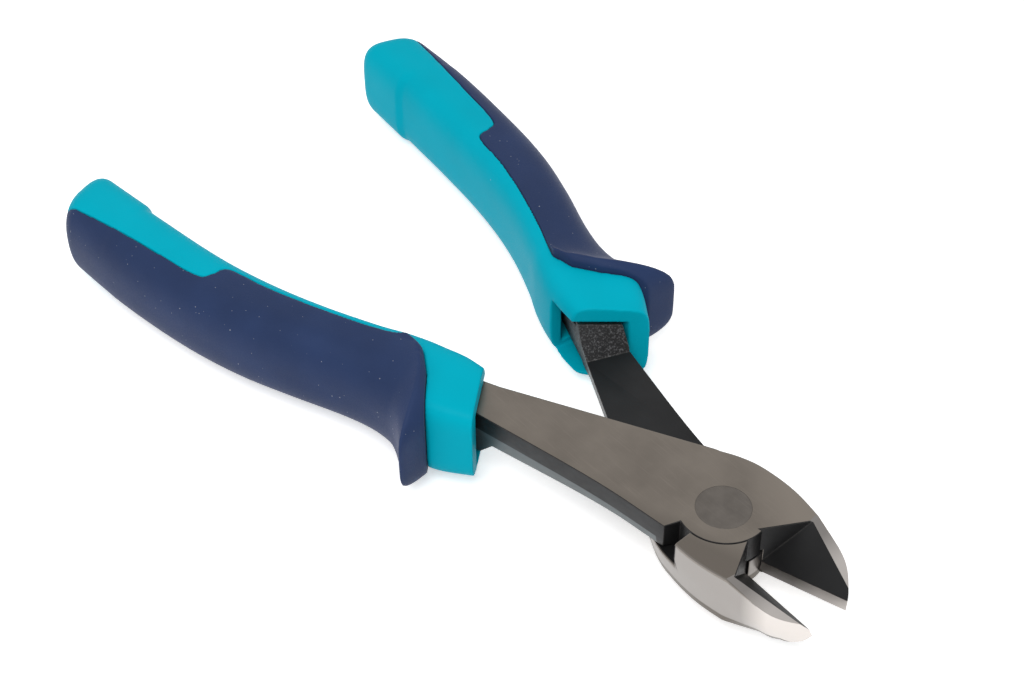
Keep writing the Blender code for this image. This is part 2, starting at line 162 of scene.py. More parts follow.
GUARD_TOP = 2.4 * MM
GUARD_CREST = 1.8 * MM
GUARD_TAIL = 4.4 * MM
POCKET_CLEARANCE = 0.5 * MM
MOUTH_HEIGHT = 13.2 * MM
MOUTH_DEPTH = 8.5 * MM

# Grip stations: x, inner side y, outer side y, half height
GRIP_STATIONS = [
    (-36.0 * MM, -3.4 * MM, -11.4 * MM, 7.2 * MM),
    (-45.0 * MM, -2.8 * MM, -15.4 * MM, 8.2 * MM),
    (-53.0 * MM, -2.5 * MM, -18.8 * MM, 9.2 * MM),
    (-61.0 * MM, -2.6 * MM, -19.2 * MM, 9.5 * MM),
    (-68.0 * MM, -4.0 * MM, -19.8 * MM, 9.5 * MM),
    (-75.0 * MM, -6.4 * MM, -21.0 * MM, 9.5 * MM),
    (-86.0 * MM, -9.2 * MM, -23.7 * MM, 9.5 * MM),
    (-98.0 * MM, -11.0 * MM, -26.0 * MM, 9.5 * MM),
    (-112.0 * MM, -11.8 * MM, -27.0 * MM, 9.5 * MM),
    (-132.0 * MM, -11.4 * MM, -26.6 * MM, 9.6 * MM),
    (-152.0 * MM, -10.4 * MM, -24.6 * MM, 9.4 * MM),
]

# Edge of the soft cover from above: along the grip from the butt, then the guard's front from its inner tip
COVER_BAND = [
    (-170.0 * MM, -23.0 * MM),
    (-130.0 * MM, -21.3 * MM),
    (-112.4 * MM, -20.7 * MM),
    (-109.4 * MM, -18.4 * MM),
    (-108.0 * MM, -15.3 * MM),
    (-98.5 * MM, -14.5 * MM),
    (-88.0 * MM, -12.8 * MM),
    (-77.5 * MM, -10.4 * MM),
    (-71.5 * MM, -8.7 * MM),
]
GUARD_FRONT = [
    (-67.4 * MM, -7.6 * MM),
    (-62.6 * MM, -8.9 * MM),
    (-58.2 * MM, -12.8 * MM),
    (-52.0 * MM, -20.4 * MM),
    (-50.0 * MM, -25.0 * MM),
    (-49.0 * MM, -36.0 * MM),
]

# Construction: BEYOND reaches past the whole part, and steps and angles set how fine the meshes are
HALF_HEAD = HEAD_THICK / 2
BEYOND = 60 * MM
OPEN_SECTOR = math.radians(40.0)
ARC_STEP = math.radians(3.75)
SMOOTH_STEPS = 10
BUTT_STEPS = 10
WALL_BENDS = 4
SHARP_ANGLE = math.radians(35)
FLAT_ANGLE = math.radians(0.4)
BEND_ANGLE = math.radians(20)
FORGED_MERGE = 0.004 * MM
BROKEN_MERGE = 0.0002 * MM
SOFTENING_SHARE = 0.5

# How far an edge of a lever is broken, as a share of the edge rounding
CUTTING_WEIGHT = 0.1
WALL_WEIGHT = 1.0
EDGE_WEIGHT = 0.4

# Bounds of the lever's finishes. A LEVEL is the upright part of a face's normal, and a TURN a sideways part.
WALL_FROM_Y = 0.8 * MM
WALL_BAND = 2.5 * MM
WALL_LEVEL = 0.85
WALL_TURN = 0.1
WALL_OUTWARD = 0.3
CUTTING_BAND = 0.3 * MM
SLOPE_LEVEL = 0.8
SLOPE_TURN = 0.2
FLAT_LEVEL = 0.97
FLAT_BAND = 0.1 * MM
RIM_FROM_Y = 0.5 * MM
RIM_TURN = 0.05
LAND_LEVEL = 0.5
LAND_TURN = 0.3
LAND_BAND = 0.7 * MM
LAND_LEAD = 0.5 * MM
ROUGH_LEVEL = 0.3
ROUGH_LEAD = 0.3 * MM
FACET_LEVEL = 0.7
BOSS_LEVEL = 0.2
BOSS_BAND = 0.2 * MM
TIP_AHEAD = 0.5
SHADE_LEVEL = 0.99
STRIP_SHINE = 0.4

# Ranges of a noise over which one tone turns into the next
CLOUDY = (0.35, 0.65)
GRAINY = (0.3, 0.7)
SCRATCHED = (0.55, 0.75)

# Distances on the levers, in millimetres, over which the ground steel's tone changes. The tip range bounds a
# painted highlight and the foot range a painted shade.
UPPER_JAW_TONE = (6, 14)
LOWER_FLAT_TONE = (6, 10)
TIP_PAINTED_HIGHLIGHT = (15, 20)
FOOT_PAINTED_SHADE = (-10.1, -10.4)

WHITE = (1, 1, 1, 1)
BLACK = (0, 0, 0, 1)
TEAL_DUST = (0.7, 0.8, 0.82, 1)
NAVY_DUST = (0.4, 0.42, 0.47, 1)
NAVY_SHEEN = (0.9, 0.85, 1.0, 1)

# Stage, in metres. The camera's sensor is in millimetres.
SENSOR_WIDTH = 36
CLIP_RANGE = (0.01, 50)
FLOOR_REACH = 4
FLOOR_GAP = 0.1 * MM
BOX_SIZE = 0.3
BOX_AWAY = 0.6
BOX_ABOVE = 0.16
BOX_LEFT = 0.1
DARK_RANGE = (0.35, 0.95)


def polar(radius, angle):
    return Vector((radius * math.cos(angle), radius * math.sin(angle)))


def arc(radius, start, end):
    """Points on a circle about the pivot, both ends included."""
    steps = max(2, round(abs(end - start) / ARC_STEP))
    return [polar(radius, start + (end - start) * i / steps) for i in range(steps + 1)]


def smooth(points):
    """A Catmull-Rom curve through the points, both ends included."""
    points = [Vector(p) for p in points]
    padded = [2 * points[0] - points[1], *points, 2 * points[-1] - points[-2]]
    curve = []
    for a, b, c, d in zip(padded, padded[1:], padded[2:], padded[3:]):
        for i in range(SMOOTH_STEPS):
            t = i / SMOOTH_STEPS
            curve.append(
                b
                + (c - a) * t / 2
                + (a - 2.5 * b + 2 * c - d / 2) * t**2
                + (1.5 * (b - c) + (d - a) / 2) * t**3
            )
    return [*curve, points[-1]]


def offset(outline, distance, closed=True):
    """The outline moved to its left by a distance, with mitred corners."""
    moved = []
    count = len(outline)
    for i, point in enumerate(outline):
        before = outline[i - 1] if closed or i else None
        after = outline[(i + 1) % count] if closed or i + 1 < count else None
        normals = []
        for a, b in ((before, point), (point, after)):
            if a is not None and b is not None:
                along = (b - a).normalized()
                normals.append(Vector((-along.y, along.x)))
        middle = (normals[0] + normals[-1]).normalized()
        moved.append(point + middle * distance / max(0.5, middle.dot(normals[0])))
    return moved


def loft(name, rings, side):
    """A closed solid through rings of equal length. side -1 turns it half a turn about X."""
    mesh = bpy.data.meshes.new(name)
    shape = bmesh.new()
    loops = []
    for ring in rings:
        loops.append([shape.verts.new((x, side * y, side * z)) for x, y, z in ring])
    for near, far in zip(loops, loops[1:]):
        for i in range(len(near)):
            j = (i + 1) % len(near)
            shape.faces.new((near[i], near[j], far[j], far[i]))
    shape.faces.new(loops[0])
    shape.faces.new(loops[-1])
    bmesh.ops.recalc_face_normals(shape, faces=shape.faces)
    bmesh.ops.triangulate(shape, faces=shape.faces)
    shape.to_mesh(mesh)
    shape.free()
    obj = bpy.data.objects.new(name, mesh)
    bpy.context.scene.collection.objects.link(obj)
    return obj


def prism(name, outline, low, high, side):
    """An upright solid on an outline. low and high are heights or functions of the plan point."""
    heights = [level if callable(level) else (lambda point, z=level: z) for level in (low, high)]
    return loft(name, [[(p.x, p.y, height(p)) for p in outline] for height in heights], side)


def shape_with(obj, tool, operation):
    """Cuts a piece with a tool, live until the piece is baked."""
    modifier = obj.modifiers.new(operation.lower(), "BOOLEAN")
    modifier.operation = operation
    modifier.solver = "MANIFOLD"
    modifier.object = tool


def head_outline():
    """The jaw's and boss's outer side, from the tip round to the arm's inner edge."""
    return smooth(
        [
            (JAW_LENGTH, EDGE_GAP / 2),
            (JAW_LENGTH - TIP_SETBACK, TIP_FLAT),
            (JAW_NOSE_X, JAW_NOSE_Y),
            (JAW_SHOULDER_X, JAW_SHOULDER_Y),
            (JAW_SHOULDER_X / 2, HEAD_HALF_WIDTH - SHOULDER_FALL),
            (0, HEAD_HALF_WIDTH),
            (ARM_ROOT_X / 2, HEAD_HALF_WIDTH - ROOT_FALL),
            (ARM_ROOT_X, ARM_ROOT_Y),
        ]
    )


def tang_sides():
    """The tang's inner end corner and outer end corner."""
    along = (Vector((TANG_END_X, TANG_END_Y)) - arm_end_middle()).normalized()
    across = Vector((-along.y, along.x)) * TANG_END_WIDTH / 2
    end = Vector((TANG_END_X, TANG_END_Y))
    return end - across, end + across


def arm_end_middle():
    return Vector((ARM_END_X, (ARM_INNER_END_Y + ARM_OUTER_END_Y) / 2))


def lever_outline():
    """The whole lever from above, anticlockwise from the tip."""
    inner_end, outer_end = tang_sides()
    hook = polar(HOOK_RADIUS, -HOOK_ANGLE)
    arm_outer = smooth([(ARM_END_X, ARM_OUTER_END_Y), (ARM_WAIST_X, ARM_WAIST_Y), hook])
    return [
        *head_outline(),
        Vector((ARM_END_X, ARM_INNER_END_Y)),
        inner_end,
        outer_end,
        *arm_outer,
        *arc(BOSS_RADIUS, -HOOK_ANGLE, math.asin(EDGE_GAP / 2 / BOSS_RADIUS)),
    ]


def edge_height(x):
    """Height of the cutting edge, world up, at a distance from the pivot."""
    share = (x - BOSS_RADIUS) / (JAW_LENGTH - BOSS_RADIUS)
    return EDGE_ROOT_HEIGHT + (EDGE_TIP_HEIGHT - EDGE_ROOT_HEIGHT) * share


def throat_area():
    """Plan of everything ahead of the throat wall, where the bevels are cut."""
    root = Vector((THROAT_X, 0))
    high = root + polar(BEYOND / 2, THROAT_ANGLE)
    ahead = Vector((BEYOND, 0))
    return [root, root + ahead, high + ahead, high]


def bevel_tool(name, side, up, angle, start):
    """Removes the jaw beyond a slope that leaves the edge upwards (up 1) or downwards (up -1)."""

    def slope(point):
        return side * (edge_height(point.x) + up * (start + (point.y - EDGE_GAP / 2) * math.tan(angle)))

    def beyond(point):
        return slope(point) + side * up * BEYOND

    low, high = (slope, beyond) if side * up > 0 else (beyond, slope)
    return prism(name, throat_area(), low, high, side)


def nose_tool(name, side):
    """Removes what lies above the slope that thins the jaw from its shoulder to its tip."""

    def slope(point):
        return side * (HALF_HEAD - (point.x - NOSE_FROM_X) * math.tan(NOSE_FALL))

    def beyond(point):
        return slope(point) + side * BEYOND

    back, front, far = NOSE_FROM_X - HALF_HEAD, JAW_LENGTH + HALF_HEAD, HEAD_HALF_WIDTH * 2
    outline = [Vector(p) for p in ((back, -far), (front, -far), (front, far), (back, far))]
    low, high = (slope, beyond) if side > 0 else (beyond, slope)
    return prism(name, outline, low, high, side)


def collar_line(y, ahead=0.0):
    """A point of the collar's slanted front seen from above, or of a line ahead of it."""
    return Vector((COLLAR_X + ahead - (y - COLLAR_Y) * math.tan(COLLAR_SLANT), y))


def lap_tool(name, side):
    """Removes the half of the joint and arm that the other lever fills."""
    clear = BOSS_RADIUS + BOSS_CLEARANCE
    outline = [
        *arc(clear, SHOULDER_ANGLE, 0),
        Vector((clear, -BEYOND)),
        collar_line(-BEYOND / 2),
        collar_line(ARM_ROOT_Y),
        polar(BEYOND, SHOULDER_ANGLE + OPEN_SECTOR),
        polar(BEYOND / 2, SHOULDER_ANGLE),
    ]
    tool = prism(name, outline[::-1], -BEYOND, LAP_GAP / 2, side)
    swell = Vector((SWELL_FROM_X, SWELL_FROM_Y))
    along = (Vector((ARM_END_X, ARM_INNER_END_Y)) - swell).normalized()
    outward = Vector((-along.y, along.x))
    backward = Vector((-math.cos(COLLAR_SLANT), -math.sin(COLLAR_SLANT)))
    shoulder = collar_line(COLLAR_Y, SHOULDER_LEAD)
    shape_with(tool, keep_tool(name + "_swell", side, swell, outward, SWELL_SLOPE), "DIFFERENCE")
    shape_with(tool, keep_tool(name + "_shoulder", side, shoulder, backward, SHOULDER_SLOPE), "DIFFERENCE")
    return tool


def keep_tool(name, side, start, outward, slope):
    """Keeps what lies above a plane that falls from the lap, outward from a line, out of the lap cut."""
    along = Vector((outward.y, -outward.x)) * BEYOND

    def level(point):
        return LAP_GAP / 2 - math.tan(slope) * (point - start).dot(outward)

    inside, outside = start - outward * BEYOND / 8, start + outward * BEYOND / 2
    outline = [inside - along, inside + along, outside + along, outside - along]
    return prism(name, outline, level, BEYOND, side)


def tang_tools(name, side):
    """Thins the tang, which is rough forged, from just inside the collar to its end."""
    front = [collar_line(y, -TANG_INSET) for y in (ARM_ROOT_Y, -BEYOND / 2)]
    back = Vector((2 * TANG_END_X, 0))
    outline = [front[0], front[0] + back, front[1] + back, front[1]]
    under = prism(name + "_under", outline, -BEYOND, -TANG_DROP, side)
    over = prism(name + "_over", outline, HALF_HEAD - TANG_TOP_STEP, BEYOND, side)
    return under, over


def wall_ring(outline, z):
    """The outline at a height: walls lean in below the parting line, and round the jaw's nose further."""
    boss = len(arc(BOSS_RADIUS, -HOOK_ANGLE, 0))
    below = max(0, PARTING_HEIGHT - z) / (PARTING_HEIGHT + HALF_HEAD)
    under = max(0, -z / HALF_HEAD) ** 1.5
    ring = []
    for p, q in zip(outline[:-boss], offset(outline, WALL_DRAFT)):
        nose = max(0, min(1, (p.x - NOSE_FROM_X) / NOSE_RISE, (JAW_LENGTH - p.x) / NOSE_FADE))
        lean = below * min(1, 1 - p.x / JAW_LENGTH) + under * nose * NOSE_DRAFT / WALL_DRAFT
        ring.append(p.lerp(q, lean))
    return ring + outline[-boss:]


def make_lever(name, side, bore):
    """One forging with its live cuts: lap, tang, bore and the faces of the cutting edge."""
    outline = lever_outline()
    levels = [HALF_HEAD, PARTING_HEIGHT, *(-HALF_HEAD * i / WALL_BENDS for i in range(WALL_BENDS + 1))]
    lever = loft(name, [[(p.x, p.y, side * z) for p in wall_ring(outline, z)] for z in levels], side)
    tools = [
        nose_tool(name + "_nose", side),
        lap_tool(name + "_lap", side),
        *tang_tools(name + "_tang", side),
        prism(name + "_bore", arc(bore, 0, 2 * math.pi)[:-1], -BEYOND, BEYOND, side),
        bevel_tool(name + "_upper_bevel", side, 1, UPPER_BEVEL_ANGLE, EDGE_LAND),
        bevel_tool(name + "_land", side, 1, LAND_ANGLE, 0),
        bevel_tool(name + "_lower_bevel", side, -1, LOWER_BEVEL_ANGLE, 0),
    ]
    for tool in tools:
        shape_with(lever, tool, "DIFFERENCE")
    return lever


def clean_facets(mesh, near, flat_angle=0.0):
    """Merges points that lie near each other and, if an angle is given, the flat triangles of each face."""
    shape = bmesh.new()
    shape.from_mesh(mesh)
    bmesh.ops.remove_doubles(shape, verts=shape.verts, dist=near)
    if flat_angle:
        bmesh.ops.dissolve_degenerate(shape, edges=shape.edges, dist=near)
        bmesh.ops.dissolve_limit(shape, verts=shape.verts, edges=shape.edges, angle_limit=flat_angle)
    shape.to_mesh(mesh)
    shape.free()


def station(x):
    """Inner side, outer side and half height of the grip at x, on a smooth curve through the stations."""
    stations = GRIP_STATIONS
    last = len(stations) - 2
    k = next((i for i in range(last) if stations[i + 1][0] <= x), last)
    span = [Vector(stations[min(max(i, 0), last + 1)]) for i in range(k - 1, k + 3)]
    a, b, c, d = span
    t = (x - b[0]) / (c[0] - b[0])
    width = c[0] - b[0]
    into = (c - a) * width / (c[0] - a[0])
    out = (d - b) * width / (d[0] - b[0])
    point = (
        b * (2 * t**3 - 3 * t**2 + 1)
        + into * (t**3 - 2 * t**2 + t)
        + c * (3 * t**2 - 2 * t**3)
        + out * (t**3 - t**2)
    )
    return point[1], point[2], point[3]


def guard_front_x(y):
    """Where the guard's front edge lies at a distance across the grip."""
    points = GUARD_FRONT
    k = next((i for i in range(len(points) - 2) if points[i + 1][1] <= y), len(points) - 2)
    (x0, y0), (x1, y1) = points[k], points[k + 1]
    return x0 + (x1 - x0) * min(max((y - y0) / (y1 - y0), 0), 1)


def step(value, low, high):
    """0 below low, 1 above high and a smooth rise between them."""
    share = min(max((value - low) / (high - low), 0), 1)
    return share * share * (3 - 2 * share)


def guard_rise(back):
    """Height of the guard, as a share, at a distance behind its front edge."""
    if back < GUARD_CREST:
        return step(back, -GUARD_CREST, GUARD_CREST)
    return math.exp((GUARD_CREST - back) / GUARD_TAIL)


def grip_ring(x, side, points, inset, guarded):
    """One section of the grip, moved in by an inset. A guarded one carries the guard's crest."""
    inner, outer, half = station(x)
    inner += PAD_HEIGHT * step(-x, -PAD_X, PAD_RAMP - PAD_X)
    end = min(x - BUTT_X, BUTT_RADIUS)
    inset += BUTT_RADIUS - math.sqrt(max(BUTT_RADIUS**2 - (BUTT_RADIUS - end) ** 2, 0))
    middle = (inner + outer) / 2
    wide, high = (inner - outer) / 2 - inset, half - inset
    collar = step(x, SQUARE_FROM_X, SQUARE_TO_X)
    lift = side * GRIP_LIFT * step(x, LIFT_FROM_X, LIFT_TO_X)
    slant = math.tan(BUTT_SLANT) * min(max((SLANT_FROM_X - x) / (SLANT_FROM_X - BUTT_X), 0), 1)
    ring = []
    for i in range(points):
        angle = 2 * math.pi * (i + 0.5) / points
        across, up = math.cos(angle), math.sin(angle)
        square = INNER_SQUARENESS if across > 0 else OUTER_SQUARENESS
        power = 2 / (square + (COLLAR_SQUARENESS - square) * collar)
        y = middle + wide * math.copysign(abs(across) ** power, across)
        z = high * math.copysign(abs(up) ** power, up)
        ahead = -slant * (y - middle)
        if guarded:
            rise = guard_rise(guard_front_x(y) - x)
            outside = rise * min(across, 0) * across
            ahead += GUARD_LEAN * outside
            y -= GUARD_SIDE * outside
            z += rise * GUARD_TOP * up * abs(up) * (1 - max(across, 0))
        ring.append((x + ahead, y, z + lift))
    return ring


def grip_body(name, side, points, pitch, inset=0.0, guarded=False):
    """The grip's outer form from ahead of the collar to the rounded butt."""
    count = round((GRIP_FRONT_X - BUTT_X - BUTT_RADIUS) / pitch)
    straight = [GRIP_FRONT_X + (BUTT_X + BUTT_RADIUS - GRIP_FRONT_X) * i / count for i in range(count)]
    turns = [math.pi / 2 * i / BUTT_STEPS for i in range(BUTT_STEPS)]
    rounded = [BUTT_X + BUTT_RADIUS * (1 - math.sin(turn)) for turn in turns]
    places = [x + inset * (x < SLANT_FROM_X) for x in straight + rounded]
    return loft(name, [grip_ring(x, side, points, inset, guarded) for x in places], side)


def cover_area(gap):
    """Plan of the soft cover, drawn back from its edge by a gap."""
    edge = offset(smooth(COVER_BAND) + [Vector(p) for p in GUARD_FRONT], -gap, closed=False)
    return [*edge, Vector((edge[-1].x, -BEYOND)), Vector((edge[0].x, -BEYOND))]


def tang_pocket(name, side):
    """The hole that the tang fills."""
    inner, outer = Vector((ARM_END_X, ARM_INNER_END_Y)), Vector((ARM_END_X, ARM_OUTER_END_Y))
    inner_end, outer_end = tang_sides()
    forward = Vector((GRIP_FRONT_X - ARM_END_X, 0))
    tang = [inner + forward, inner, inner_end, outer_end, outer, outer + forward]
    outline = offset(tang, -POCKET_CLEARANCE)
    top = HALF_HEAD - TANG_TOP_STEP + POCKET_CLEARANCE
    return prism(name, outline, -TANG_DROP - POCKET_CLEARANCE, top, side)


def mouth_tool(name, side):
    """The taller mouth at the collar, which is open along the grip's inner side."""
    back = COLLAR_X - MOUTH_DEPTH
    open_y = BEYOND / 4
    outer, outer_end = Vector((ARM_END_X, ARM_OUTER_END_Y)), tang_sides()[1]
    deep = outer.lerp(outer_end, (back - outer.x) / (outer_end.x - outer.x))
    clear = Vector((0, -2 * POCKET_CLEARANCE))
    front = Vector((GRIP_FRONT_X, ARM_OUTER_END_Y))
    sides = [deep + clear, outer + clear, front + clear]
    outline = [Vector((GRIP_FRONT_X, open_y)), Vector((back, open_y)), *sides]
    return prism(name, outline, -MOUTH_HEIGHT / 2, MOUTH_HEIGHT / 2, side)


def collar_tool(name, side):
    """Removes everything ahead of the collar's slanted front."""
    low, high = collar_line(-BEYOND), collar_line(BEYOND)
    ahead = Vector((2 * BEYOND, 0))
    return prism(name, [low, low + ahead, high + ahead, high], -BEYOND, BEYOND, side)


def make_grip(name, side, grips):
    """The core and the cover of one grip with their live cuts."""
    mould = (side, grips.ring_points, grips.ring_pitch)
    bed = prism(name + "_bed", cover_area(0), -BEYOND, BEYOND, side)
    shape_with(bed, grip_body(name + "_bed_form", *mould, inset=COVER_WALL), "DIFFERENCE")
    core = grip_body(name + "_core_moulding", *mould)
    pocket, mouth = tang_pocket(name + "_pocket", side), mouth_tool(name + "_mouth", side)
    for tool in (bed, pocket, mouth, collar_tool(name + "_front", side)):
        shape_with(core, tool, "DIFFERENCE")
    cover = grip_body(name + "_cover_moulding", *mould, guarded=True)
    shape_with(cover, prism(name + "_cover_area", cover_area(COVER_GAP), -BEYOND, BEYOND, side), "INTERSECT")
    shape_with(cover, grip_body(name + "_seat", *mould, inset=COVER_WALL - COVER_GAP), "DIFFERENCE")
    return core, cover


class Value:
    """A shader socket whose arithmetic adds the Math nodes for it."""

    def __init__(self, finish, socket):
        self.finish = finish
        self.socket = socket

    def _math(self, operation, first, second):
        return self.finish.node("ShaderNodeMath", {"operation": operation}, {0: first, 1: second})

    def __add__(self, other):
        return self._math("ADD", self, other)

    def __sub__(self, other):
        return self._math("SUBTRACT", self, other)

    def __rsub__(self, other):
        return self._math("SUBTRACT", other, self)

    def __mul__(self, other):
        return self._math("MULTIPLY", self, other)

    __radd__ = __add__
    __rmul__ = __mul__


class Finish:
    """A material in the making, with one method that adds any node."""

    def __init__(self, material):
        material.use_nodes = True
        self.material = material
        self.tree = material.node_tree
        self.shader = self.tree.nodes.get("Principled BSDF")

    def node(self, kind, settings=None, inputs=None, out=0):
        node = self.tree.nodes.new(kind)
        for key, setting in (settings or {}).items():
            setattr(node, key, setting)
        for key, given in (inputs or {}).items():
            self.feed(node.inputs[key], given)
        return Value(self, node.outputs[out])

    def feed(self, socket, given):
        if isinstance(given, Value):
            self.tree.links.new(given.socket, socket)
        else:
            socket.default_value = given

    def set(self, **inputs):
        for key, given in inputs.items():
            self.feed(self.shader.inputs[key.replace("_", " ")], given)

    def place(self, stretch=(1, 1, 1), turn=0.0, at=(0, 0, 0)):
        """Object coordinates in millimetres, stretched, turned about Z and moved."""
        spot = self.node("ShaderNodeTexCoord", out="Object")
        scale = tuple(s / MM for s in stretch)
        inputs = {"Vector": spot, "Scale": scale, "Rotation": (0, 0, turn), "Location": at}
        return self.node("ShaderNodeMapping", None, inputs)

    def noise(self, per_mm, detail=3.0, roughness=0.5, **placing):
        inputs = {"Vector": self.place(**placing), "Scale": per_mm, "Detail": detail, "Roughness": roughness}
        return self.node("ShaderNodeTexNoise", None, inputs)

    def specks(self, per_mm, size, share, at=(0, 0, 0)):
        """1 inside small round specks, which sit in a share of the cells of a field. The size is in cells."""
        cell = {"Vector": self.place(at=at), "Scale": per_mm}
        near = self.node("ShaderNodeTexVoronoi", None, cell, out="Distance")
        colour = self.node("ShaderNodeTexVoronoi", None, cell, out="Color")
        chosen = self.node("ShaderNodeSeparateColor", None, {"Color": colour}, out="Red")
        return self.between(near, size, size / 2) * self.between(chosen, 1 - share, 1.01 - share)

    def between(self, given, low, high, to_low=0.0, to_high=1.0):
        """A value carried from one range to another and held at its ends."""
        return self.node("ShaderNodeMapRange", None, {0: given, 1: low, 2: high, 3: to_low, 4: to_high})

    def mix(self, share, first, second):
        settings = {"data_type": "RGBA", "clamp_factor": True}
        return self.node("ShaderNodeMix", settings, {0: share, 6: first, 7: second}, out=2)

    def attribute(self, name):
        return self.node("ShaderNodeAttribute", {"attribute_name": name}, out="Fac")

    def bump(self, height, depth):
        inputs = {"Height": height, "Distance": depth}
        self.set(Normal=self.node("ShaderNodeBump", None, inputs, out="Normal"))


def rgba(colour, gain=1.0):
    return (*(min(1.0, c * gain) for c in colour), 1.0)


def steel_finish(colours):
    """Ground steel and black oxide, by the attributes that mark the lever's faces, with a painted highlight
    towards the tip, a painted shade along the walls' foot and a painted reflection of the floor on the arms'
    lower facets.
    """
    finish = Finish(bpy.data.materials.new("forged_steel"))
    ground, rough = finish.attribute("ground"), finish.attribute("rough")
    bright, worn, under = (finish.attribute(name) for name in ("bright", "edge", "under"))
    spot = {"Vector": finish.place()}
    along, across, height = (finish.node("ShaderNodeSeparateXYZ", None, spot, out=axis) for axis in "XYZ")
    cloud = finish.noise(0.09, 4.0)
    scratch = finish.noise(1.0, 2.0, stretch=(0.12, 3.2, 1.0), turn=0.5)
    grain = finish.noise(2.6, 3.0, 0.65)
    pits = finish.specks(0.16, 0.11, 0.1)

    face = finish.mix(finish.between(cloud, *CLOUDY), rgba(colours.ground, 0.9), rgba(colours.ground, 1.1))
    face = finish.mix(finish.between(scratch, *SCRATCHED) * 0.35, face, rgba(colours.ground, 1.35))
    face = finish.mix(finish.between(across + along * 0.6, *UPPER_JAW_TONE), face, rgba(colours.ground, 1.25))
    face = finish.mix(finish.between(along * 0.3 - across, *LOWER_FLAT_TONE), face, rgba(colours.ground, 0.8))
    face = finish.mix(bright, face, rgba(colours.bright))
    # Painted highlight: the bright faces turn up to twice as light towards the jaw's tip.
    face = finish.mix(bright * finish.between(along, *TIP_PAINTED_HIGHLIGHT), face, rgba(colours.bright, 2.0))
    # Painted shade: the bright faces turn darker along their lowest band, next to the floor.
    face = finish.mix(bright * finish.between(height, *FOOT_PAINTED_SHADE), face, rgba(colours.ground, 0.5))
    face = finish.mix(pits * 0.6, face, rgba(colours.bright))
    skin = finish.mix(finish.between(cloud, *GRAINY), rgba(colours.oxide, 0.8), rgba(colours.oxide, 1.25))
    skin = finish.mix(finish.between(grain, 0.5, 0.72) * rough, skin, rgba(colours.oxide, 6.0))
    # Painted reflection: the arms' lower facets are painted lighter, standing in for the pale floor that they
    # face.
    skin = finish.mix(under, skin, rgba(colours.under))
    skin = finish.mix(worn * finish.between(grain, *GRAINY) * 0.12, skin, rgba(colours.ground, 0.7))
    dull = 1 - bright
    finish.set(
        Base_Color=finish.mix(ground, skin, face),
        Metallic=finish.between(ground, 0, 1, 0.7, 1.0),
        Roughness=finish.between(ground, 0, 1, 0.42, 0.36) + (scratch - 0.5) * dull * 0.25 + rough * 0.15,
    )
    finish.bump(grain * rough + scratch * ground * dull * 0.06 + cloud * 0.25, 0.09 * MM)
    return finish.material


def rivet_finish(colours):
    """Ground steel, a little darker than the levers'."""
    finish = Finish(bpy.data.materials.new("ground_rivet"))
    scratch = finish.noise(1.0, 2.0, stretch=(0.15, 3.0, 1.0), turn=0.5)
    cloud = finish.noise(0.3, 4.0)
    face = finish.mix(finish.between(cloud, *CLOUDY), rgba(colours.rivet, 0.9), rgba(colours.rivet, 1.1))
    face = finish.mix(finish.between(scratch, *SCRATCHED) * 0.3, face, rgba(colours.rivet, 1.4))
    finish.set(Base_Color=face, Metallic=1.0, Roughness=(scratch - 0.5) * 0.25 + 0.36)
    finish.bump(scratch, 0.006 * MM)
    return finish.material


def core_finish(colours):
    """Hard teal plastic with a fine grain and some dust."""
    finish = Finish(bpy.data.materials.new("teal_moulding"))
    cloud = finish.noise(0.06, 3.0)
    grain = finish.noise(5.0, 2.0)
    dust = finish.specks(0.35, 0.07, 0.05)
    skin = finish.mix(finish.between(cloud, *GRAINY), rgba(colours.core, 0.96), rgba(colours.core, 1.04))
    skin = finish.mix(dust * 0.35, skin, TEAL_DUST)
    rough = finish.between(grain, *GRAINY, 0.38, 0.5)
    finish.set(Base_Color=skin, Roughness=rough, Specular_IOR_Level=0.03)
    finish.bump(grain + cloud * 0.6, 0.02 * MM)
    return finish.material


def cover_finish(colours):
    """Soft navy plastic with a faint sheen and more dust."""
    finish = Finish(bpy.data.materials.new("navy_soft_moulding"))
    cloud = finish.noise(0.08, 4.0)
    grain = finish.noise(4.0, 2.0)
    dust = finish.specks(0.55, 0.085, 0.22) + finish.specks(1.3, 0.14, 0.09, at=(3, 5, 7))
    skin = finish.mix(finish.between(cloud, *GRAINY), rgba(colours.cover, 0.9), rgba(colours.cover, 1.12))
    skin = finish.mix(dust * 0.75, skin, NAVY_DUST)
    rough = finish.between(grain, *GRAINY, 0.5, 0.66)
    finish.set(Base_Color=skin, Roughness=rough, Specular_IOR_Level=0.14)
    finish.set(Sheen_Weight=0.07, Sheen_Roughness=0.45, Sheen_Tint=NAVY_SHEEN)
    finish.bump(grain + cloud * 0.5, 0.025 * MM)
    return finish.material


def floor_finish(stage):
    """A pale floor that takes the shadow, lifted to white where the camera or a reflection sees it."""
    finish = Finish(bpy.data.materials.new("studio_floor"))
    seen = None
    for ray in ("Is Camera Ray", "Is Glossy Ray", "Is Transmission Ray"):
        hit = finish.node("ShaderNodeLightPath", out=ray)
        seen = hit if seen is None else seen + hit
    shade = finish.mix(seen, rgba((1, 1, 1), stage.floor_shade), WHITE)
    lift = finish.mix(seen, BLACK, rgba((1, 1, 1), stage.floor_lift))
    finish.set(Base_Color=shade, Roughness=1.0, Specular_IOR_Level=0.0)
    finish.set(Emission_Color=lift, Emission_Strength=1.0)
    return finish.material


def colour(name, description, default):
    return FloatVectorProperty(
        name=name, description=description, subtype="COLOR", size=3, min=0, max=1, default=default
    )


def length(name, description, default):
    return FloatProperty(
        name=name, description=description, unit="LENGTH", precision=5, min=0, default=default
    )


def angle(name, description, degrees):
    return FloatProperty(
        name=name, description=description, subtype="ANGLE", default=math.radians(degrees)
    )


def factor(name, description, default):
    return FloatProperty(
        name=name, description=description, subtype="FACTOR", min=0, max=1, default=default
    )


